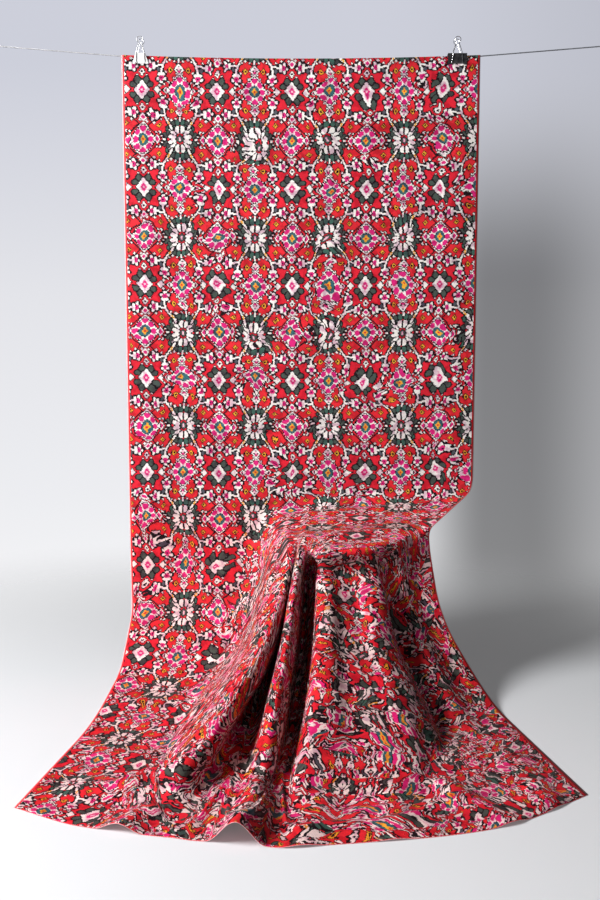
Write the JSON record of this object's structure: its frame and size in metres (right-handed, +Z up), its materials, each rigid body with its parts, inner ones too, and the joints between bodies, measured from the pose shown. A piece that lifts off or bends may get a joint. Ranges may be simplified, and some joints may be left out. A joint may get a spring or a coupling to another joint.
{
  "type": "silk brocade fabric hung on a wire",
  "caption": "Long silk brocade cloth held on a taut wire by binder clips, its lower part drawn forward into a shelf-like swag, standing pleats and a foot spread over the floor",
  "frame": {"origin": "on the floor, under the middle of the whole box of the cloth, wire and fittings", "axes": "+X along the wire to the viewer's right, -Y towards the viewer, +Z up"},
  "size_m": [1.7842, 1.0537, 1.68],
  "materials": {
    "silk_brocade": "figured silk, red ground with floats in white, pink, green and black",
    "steel_wire": "drawn steel",
    "nickel_plate": "bright nickel",
    "black_enamel": "black enamel, semi-gloss",
    "white_enamel": "white enamel, semi-gloss"
  },
  "bodies": {
    "root": {"cloth": "silk_brocade", "wire": "steel_wire", "wire_end_left": "steel_wire", "wire_end_right": "steel_wire", "wall_eye_left": "steel_wire", "wall_eye_right": "steel_wire", "clip_left_body": "white_enamel", "clip_left_handle_front": "nickel_plate", "clip_left_handle_back": "nickel_plate", "clip_right_body": "black_enamel", "clip_right_handle_front": "nickel_plate", "clip_right_handle_back": "nickel_plate"}
  },
  "joints": []
}
